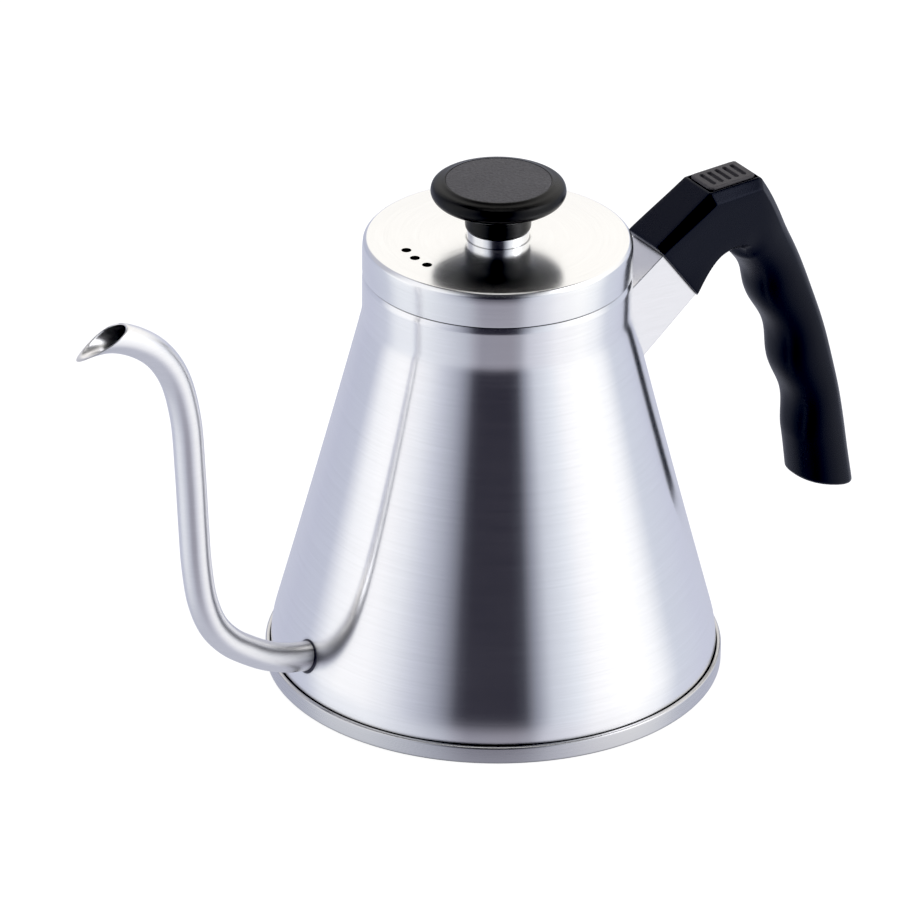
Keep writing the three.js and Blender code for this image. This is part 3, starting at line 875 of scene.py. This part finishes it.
def painted_crevice_shade(nodes, base, shade_depth_mm, painted_shade):
    """Paints shade into a colour where the surface is closed in, so seams, grooves, joints and bores
    turn dark.
    """
    open_sky = nodes.add(
        "ShaderNodeAmbientOcclusion", {"samples": 8}, output="AO", Distance=shade_depth_mm * MM)
    return nodes.mix(nodes.span(open_sky, 0.3, 0.85, 0, 1), painted_shade, base)


def steel(name, colour, roughness, anisotropy=0.0, grain=0.5, turned=True, shade_depth_mm=2.5):
    """Stainless steel with fine grinding lines: round Z if it is turned, and level if it isn't."""
    material, nodes = new_material(name)
    place = nodes.add("ShaderNodeTexCoord", output="Object")
    x, y, z = nodes.split(place)
    if turned:
        squares = nodes.math("ADD", nodes.math("MULTIPLY", x, x), nodes.math("MULTIPLY", y, y))
        radius = nodes.math("SQRT", squares)
        safe = nodes.math("MAXIMUM", radius, 1e-4)
        around_x, around_y = nodes.math("DIVIDE", x, safe), nodes.math("DIVIDE", y, safe)
        level = nodes.math("SUBTRACT", z, radius)
    else:
        around_x, around_y = nodes.math("MULTIPLY", x, 60), nodes.math("MULTIPLY", y, 60)
        level = z

    def lines(per_metre, stretch):
        vector = nodes.add(
            "ShaderNodeCombineXYZ", X=nodes.math("MULTIPLY", around_x, stretch),
            Y=nodes.math("MULTIPLY", around_y, stretch), Z=nodes.math("MULTIPLY", level, per_metre))
        return nodes.noise(vector, scale=1.0, detail=3.0, roughness=0.6)

    fine = lines(per_metre=5200, stretch=2.6)
    broad = lines(per_metre=700, stretch=1.4)
    smudge = nodes.noise(place, scale=28, detail=3.0)
    both = nodes.math("ADD", nodes.math("MULTIPLY", fine, 0.65), nodes.math("MULTIPLY", broad, 0.35))
    darker, lighter = scaled(colour, 1 - 0.16 * grain), scaled(colour, 1 + 0.06 * grain)
    base = nodes.mix(nodes.span(both, 0.3, 0.7, 0, 1), darker, lighter)
    # Painted shade: the colour darkens where the surface is closed in.
    base = painted_crevice_shade(nodes, base, shade_depth_mm, painted_shade=(0.012, 0.012, 0.014, 1))
    rough = nodes.math(
        "ADD", nodes.span(both, 0.3, 0.7, roughness - 0.05 * grain, roughness + 0.05 * grain),
        nodes.span(smudge, 0.3, 0.7, -0.012, 0.012))
    bump = nodes.add("ShaderNodeBump", Strength=0.10 * grain, Distance=0.00004, Height=both)
    tangent = nodes.add("ShaderNodeTangent", {"direction_type": "RADIAL", "axis": "Z"})
    surface(nodes, Base_Color=base, Metallic=1.0, Roughness=rough, Normal=bump,
            Anisotropic=anisotropy, Anisotropic_Rotation=0.25, Tangent=tangent)
    return material


def plastic(name, colour, roughness, shine, grain_mm, grain_strength, painted_edge_highlight=0.3,
            sheen=(1, 1, 1, 1), edge_mm=0.3, low_shine=None):
    """Moulded plastic or rubber with a spark-eroded grain, handled smoother in patches. Its sharp
    outer edges are lightened as a painted highlight, and its closed-in places are darkened as painted
    shade.
    Below the grip's head its shine can differ: a lower shine there is painted shade on the arm."""
    material, nodes = new_material(name)
    place = nodes.add("ShaderNodeTexCoord", output="Object")
    grain = nodes.noise(place, scale=1 / (grain_mm * MM), detail=3.0, roughness=0.6)
    patch = nodes.noise(place, scale=45, detail=3.0)
    # Painted highlight: sharp outer edges get a lighter colour.
    edge_sharpness = nodes.add("ShaderNodeNewGeometry", output="Pointiness")
    edge = nodes.span(edge_sharpness, 0.51, 0.6, 0, painted_edge_highlight)
    dark, light = scaled(colour, 0.78), scaled(colour, 1.25)
    base = nodes.mix(nodes.span(grain, 0.3, 0.7, 0, 1), dark, light)
    base = nodes.mix(edge, base, scaled(colour, 2.2, lift=0.004))
    # Painted shade where the surface is closed in.
    base = painted_crevice_shade(nodes, base, shade_depth_mm=1.2, painted_shade=(0.001, 0.001, 0.001, 1))
    rough = nodes.math(
        "ADD", nodes.span(patch, 0.3, 0.7, roughness - 0.06, roughness + 0.05),
        nodes.span(grain, 0.3, 0.7, -0.03, 0.03))
    # Painted shade: the shine falls below the grip's head, so the arm reflects less light.
    if low_shine is not None:
        low, high = (height * MM for height in HEAD_FADE)
        shine = nodes.span(nodes.split(place)[2], low, high, low_shine, shine, "SMOOTHSTEP")
    eased = nodes.add("ShaderNodeBevel", {"samples": 6}, Radius=edge_mm * MM)
    bump = nodes.add(
        "ShaderNodeBump", Strength=grain_strength, Distance=grain_mm * MM * 0.3, Height=grain,
        Normal=eased)
    surface(nodes, Base_Color=base, Roughness=rough, Normal=bump, Specular_IOR_Level=shine,
            Specular_Tint=sheen)
    return material


def plated(name, colour, roughness):
    """Small plated or turned fasteners, slightly uneven in colour."""
    material, nodes = new_material(name)
    place = nodes.add("ShaderNodeTexCoord", output="Object")
    cloud = nodes.noise(place, scale=900, detail=4.0)
    base = nodes.mix(nodes.span(cloud, 0.3, 0.7, 0, 1), scaled(colour, 0.7), colour)
    rough = nodes.span(cloud, 0.3, 0.7, roughness - 0.08, roughness + 0.1)
    bump = nodes.add("ShaderNodeBump", Strength=0.15, Distance=0.00003, Height=cloud)
    surface(nodes, Base_Color=base, Metallic=1.0, Roughness=rough, Normal=bump)
    return material


BRUSHED = steel(
    "brushed_steel", (0.97, 0.97, 0.98, 1), roughness=0.17, anisotropy=0.9, grain=0.35)
# The rim and pan steel is darker than the wall's: painted shade for the floor shade it mirrors near
# the ground.
SHADED_RIM_STEEL = steel(
    "rim_steel_painted_shade", (0.70, 0.70, 0.715, 1), roughness=0.28, anisotropy=0.4, shade_depth_mm=1.5)
# Its painted crevice shade reaches 5 mm, so the bore and the joint with the wall darken.
TUBE_STEEL = steel(
    "tube_steel", (0.95, 0.95, 0.96, 1), roughness=0.30, grain=0.3, turned=False, shade_depth_mm=5)
# The weld's near-black colour is painted shade: the dark crevice where the tube meets the wall.
SHADED_WELD = steel("weld_painted_shade", (0.10, 0.10, 0.12, 1), roughness=0.36, grain=0.9, turned=False)
SATIN = steel(
    "satin_steel", (0.965, 0.97, 0.975, 1), roughness=0.19, anisotropy=0.3, grain=0.3, shade_depth_mm=1)
FOLDED = steel(
    "folded_steel", (0.88, 0.88, 0.905, 1), roughness=0.26, grain=0.3, turned=False, shade_depth_mm=1)
POLISHED = steel(
    "polished_steel", (0.93, 0.93, 0.93, 1), roughness=0.06, grain=0.1, shade_depth_mm=0.2)
COOL_SHEEN = (0.68, 0.74, 1.0, 1)
BLACK_GRIP = plastic(
    "black_grip", linear(8, 8, 11), roughness=0.30, shine=0.31, grain_mm=0.35,
    grain_strength=0.3, sheen=COOL_SHEEN, edge_mm=0.5, low_shine=0.23)
BLACK_KNOB = plastic(
    "black_knob", linear(8, 8, 9), roughness=0.34, shine=0.32, grain_mm=0.30,
    grain_strength=0.25)
GREY_INLAY = plastic(
    "grey_inlay", linear(86, 85, 88), roughness=0.62, shine=0.40, grain_mm=0.90,
    grain_strength=1.2, painted_edge_highlight=0.1, edge_mm=0.05)
PAD_GREY = plastic(
    "pad_grey", linear(78, 76, 79), roughness=0.55, shine=0.35, grain_mm=0.25,
    grain_strength=0.4)
ZINC = plated("zinc_plate", linear(188, 190, 193), roughness=0.35)
BRASS = plated("brass", linear(196, 160, 92), roughness=0.32)

# ---------------------------------------- pieces on their bodies

KETTLE = "kettle"
LID = "lid"


def fit(piece, node, body, material):
    """Puts a fine piece in the place of a CAD node."""
    piece.data.materials.clear()
    piece.data.materials.append(material)
    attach(piece, body)
    if node:
        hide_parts(node)


fit(base_rim(), "base_rim", KETTLE, SHADED_RIM_STEEL)
fit(base_plate(), "base_plate", KETTLE, SHADED_RIM_STEEL)
fit(body_shell(), "body_shell", KETTLE, BRUSHED)
fit(spout_tube(), "spout_tube", KETTLE, TUBE_STEEL)
fit(spout_weld(), None, KETTLE, SHADED_WELD)
fit(handle_bracket(), "handle_bracket", KETTLE, FOLDED)
fit(handle_grip(), "handle_grip", KETTLE, BLACK_GRIP)
fit(thumb_pad(), "thumb_pad", KETTLE, PAD_GREY)
fit(lid_cap(), "lid_cap", LID, SATIN)
fit(lid_inner_ring(), "lid_inner_ring", LID, SATIN)
fit(knob_ferrule(), "knob_ferrule", LID, POLISHED)
fit(knob_body(), "knob_body", LID, BLACK_KNOB)
fit(knob_inlay(), "knob_inlay", LID, GREY_INLAY)

lid_seat = LID_TOP - SHEET - WASHER_THICKNESS
grip_seat = GRIP_SCREW_SEAT - PLAY - WASHER_THICKNESS
fit(screw("knob_screw_fine", lid_seat, INSERT_TOP - 1), "knob_screw", LID, ZINC)
fit(washer("knob_washer_fine", lid_seat), "knob_washer", LID, ZINC)
grip_screw = shifted(screw("grip_screw_fine", grip_seat - PLAY, GRIP_SCREW_END), GRIP_SCREW_X)
fit(moved(grip_screw, IN_GRIP), "grip_screw", KETTLE, ZINC)
grip_washer = shifted(washer("grip_washer_fine", grip_seat), GRIP_SCREW_X)
fit(moved(grip_washer, IN_GRIP), "grip_washer", KETTLE, ZINC)

# These CAD solids stay as they are and get a finish only.
for node, material in (("bracket_tongue", ZINC), ("grip_nut", ZINC), ("knob_insert", BRASS)):
    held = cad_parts[node]
    held.data.materials.clear()
    held.data.materials.append(material)

# ---------------------------------------- camera

VIEW_AZIMUTH = math.radians(-32)
VIEW_ELEVATION = math.radians(27.18)
VIEW_ROLL = 0.009
VIEW_TARGET = Vector((-9.09, 5.68, 66.0)) * MM
VIEW_DISTANCE = 2.0
VIEW_LENS = 258.06
VIEW_SENSOR = 36
BLACK_LEVEL = 0.012  # light under this shows as full black


def add_camera():
    """The photo's view: back points from the target to the camera."""
    data = bpy.data.cameras.new("camera")
    data.sensor_width = VIEW_SENSOR
    data.lens = VIEW_LENS
    data.clip_start, data.clip_end = 0.01, 100
    camera = bpy.data.objects.new("camera", data)
    bpy.context.scene.collection.objects.link(camera)
    flat = math.cos(VIEW_ELEVATION)
    back = Vector((math.sin(VIEW_AZIMUTH) * flat, -math.cos(VIEW_AZIMUTH) * flat,
                   math.sin(VIEW_ELEVATION)))
    level = Vector((math.cos(VIEW_AZIMUTH), math.sin(VIEW_AZIMUTH), 0))
    upright = back.cross(level)
    right = level * math.cos(VIEW_ROLL) + upright * math.sin(VIEW_ROLL)
    up = upright * math.cos(VIEW_ROLL) - level * math.sin(VIEW_ROLL)
    turn = Matrix((right, up, back)).transposed().to_4x4()
    camera.matrix_world = Matrix.Translation(VIEW_TARGET + back * VIEW_DISTANCE) @ turn
    bpy.context.scene.camera = camera


# ---------------------------------------- studio

# Display levels of the surroundings, by degrees from the camera's own direction: a dark stand and
# operator in front, wide white panels to both sides and a pale blue-grey room behind. A level
# above 255 is a lamp.
FLOOR_LEVELS = [
    (-180, (196, 199, 214)), (-135, (190, 193, 210)), (-108, (196, 200, 214)), (-94, (228, 231, 238)),
    (-67, (232, 235, 241)), (-44, (208, 211, 221)), (-26, (184, 187, 199)), (-19, (166, 166, 178)),
    (-13, (148, 147, 159)), (12, (149, 147, 158)), (19, (160, 160, 171)), (26, (198, 199, 210)),
    (40, (218, 219, 228)), (52, (240, 240, 245)), (75, (254, 254, 255)), (92, (240, 242, 247)),
    (106, (206, 210, 222)), (135, (198, 201, 217)), (180, (196, 199, 214)),
]
HORIZON_LEVELS = [
    (-180, (196, 199, 214)), (-140, (178, 182, 200)), (-111, (188, 192, 208)), (-96, (243, 244, 248)),
    (-83, (252, 252, 254)), (-68, (247, 247, 250)), (-55, (228, 230, 237)), (-42, (192, 195, 208)),
    (-30, (156, 159, 173)), (-23, (118, 120, 132)), (-18, (64, 64, 74)), (-13, (47, 46, 55)),
    (10, (47, 46, 55)), (16, (64, 65, 74)), (23, (150, 153, 166)), (30, (200, 204, 215)),
    (43, (226, 230, 238)), (53, (248, 248, 251)), (76, (262, 262, 262)), (92, (247, 248, 251)),
    (106, (204, 209, 221)), (140, (198, 202, 218)), (180, (196, 199, 214)),
]
UPPER_LEVELS = [
    (-180, (255, 252, 247)), (-155, (248, 246, 244)), (-138, (188, 188, 196)),
    (-112, (184, 185, 196)), (-92, (246, 246, 249)), (-60, (250, 250, 252)),
    (-40, (214, 217, 226)), (-27, (120, 122, 134)), (-19, (44, 44, 52)), (0, (26, 26, 32)),
    (19, (44, 44, 52)), (28, (140, 143, 154)), (42, (226, 229, 236)), (58, (262, 262, 264)),
    (68, (360, 360, 365)), (84, (360, 360, 365)), (96, (262, 262, 262)),
    (120, (255, 253, 250)), (180, (255, 252, 247)),
]
CEILING = (42, 42, 48)  # the dark ring round the overhead lamp
ZENITH = (250, 249, 247)
GROUND = (186, 188, 200)

# Elevations, in degrees, between which one of these gives way to the next.
GROUND_TO_FLOOR = (-54, -28)
FLOOR_TO_HORIZON = (-19, -8)
HORIZON_TO_UPPER = (7, 22)
UPPER_TO_CEILING = (50, 61)
CEILING_TO_ZENITH = (70, 78)


def add_world():
    """The surroundings that the metal mirrors. The camera itself sees plain white."""
    world = bpy.data.worlds.new("studio")
    world.use_nodes = True
    world.node_tree.nodes.clear()
    bpy.context.scene.world = world
    nodes = Nodes(world.node_tree)
    direction = nodes.add("ShaderNodeTexCoord", output="Generated")
    turned = nodes.add(
        "ShaderNodeVectorRotate", {"rotation_type": "Z_AXIS"}, Vector=direction,
        Angle=math.pi / 2 - VIEW_AZIMUTH)
    x, y, z = nodes.split(turned)
    azimuth = nodes.math("ARCTAN2", y, x)
    share = nodes.span(azimuth, -math.pi, math.pi, 0, 1)
    elevation = nodes.math("MULTIPLY", nodes.math("ARCSINE", z), 180 / math.pi)

    def row(levels):
        return nodes.ramp(share, [((angle + 180) / 360, linear(*c)) for angle, c in levels])

    def change(below, above, between, kind="SMOOTHSTEP"):
        return nodes.mix(nodes.span(elevation, *between, 0, 1, kind), below, above)

    colour = change(linear(*GROUND), row(FLOOR_LEVELS), GROUND_TO_FLOOR, "LINEAR")
    colour = change(colour, row(HORIZON_LEVELS), FLOOR_TO_HORIZON)
    colour = change(colour, row(UPPER_LEVELS), HORIZON_TO_UPPER)
    colour = change(colour, linear(*CEILING), UPPER_TO_CEILING)
    colour = change(colour, linear(*ZENITH), CEILING_TO_ZENITH)
    seen = nodes.add("ShaderNodeLightPath", output="Is Camera Ray")
    colour = nodes.mix(seen, colour, (1, 1, 1, 1))
    background = nodes.add("ShaderNodeBackground", Color=colour, Strength=1.06)
    nodes.add("ShaderNodeOutputWorld", Surface=background)


def add_floor():
    """A wide pale floor. It is left out of reflections, where the world stands for it."""
    mesh = bpy.data.meshes.new("floor")
    far = 12
    mesh.from_pydata([(-far, -far, 0), (far, -far, 0), (far, far, 0), (-far, far, 0)], [],
                     [(0, 1, 2, 3)])
    floor = bpy.data.objects.new("floor", mesh)
    floor.location.z = -0.2 * MM
    bpy.context.scene.collection.objects.link(floor)
    material, nodes = new_material("pale_floor")
    paper = nodes.add("ShaderNodeBsdfDiffuse", Color=(0.26, 0.26, 0.265, 1))
    glow = nodes.add("ShaderNodeEmission", Color=(1, 1, 1, 1), Strength=0.92)
    both = nodes.add("ShaderNodeAddShader", i0=paper, i1=glow)
    nodes.add("ShaderNodeOutputMaterial", Surface=both)
    mesh.materials.append(material)
    floor.visible_glossy = False


def add_softbox():
    """A broad overhead light that shapes the matt pieces. It isn't mirrored in the steel."""
    data = bpy.data.lights.new("softbox", "AREA")
    data.shape = "RECTANGLE"
    data.size, data.size_y = 1.6, 1.2
    data.energy = 6
    light = bpy.data.objects.new("softbox", data)
    light.location = (0.5, -0.6, 1.8)
    light.rotation_euler = (VIEW_TARGET - light.location).to_track_quat("-Z", "Y").to_euler()
    light.visible_glossy = False
    bpy.context.scene.collection.objects.link(light)


add_camera()
add_world()
add_floor()
add_softbox()

view = bpy.context.scene.view_settings
view.view_transform = "Standard"
view.use_curve_mapping = True
view.curve_mapping.black_level = (BLACK_LEVEL,) * 3
view.curve_mapping.update()
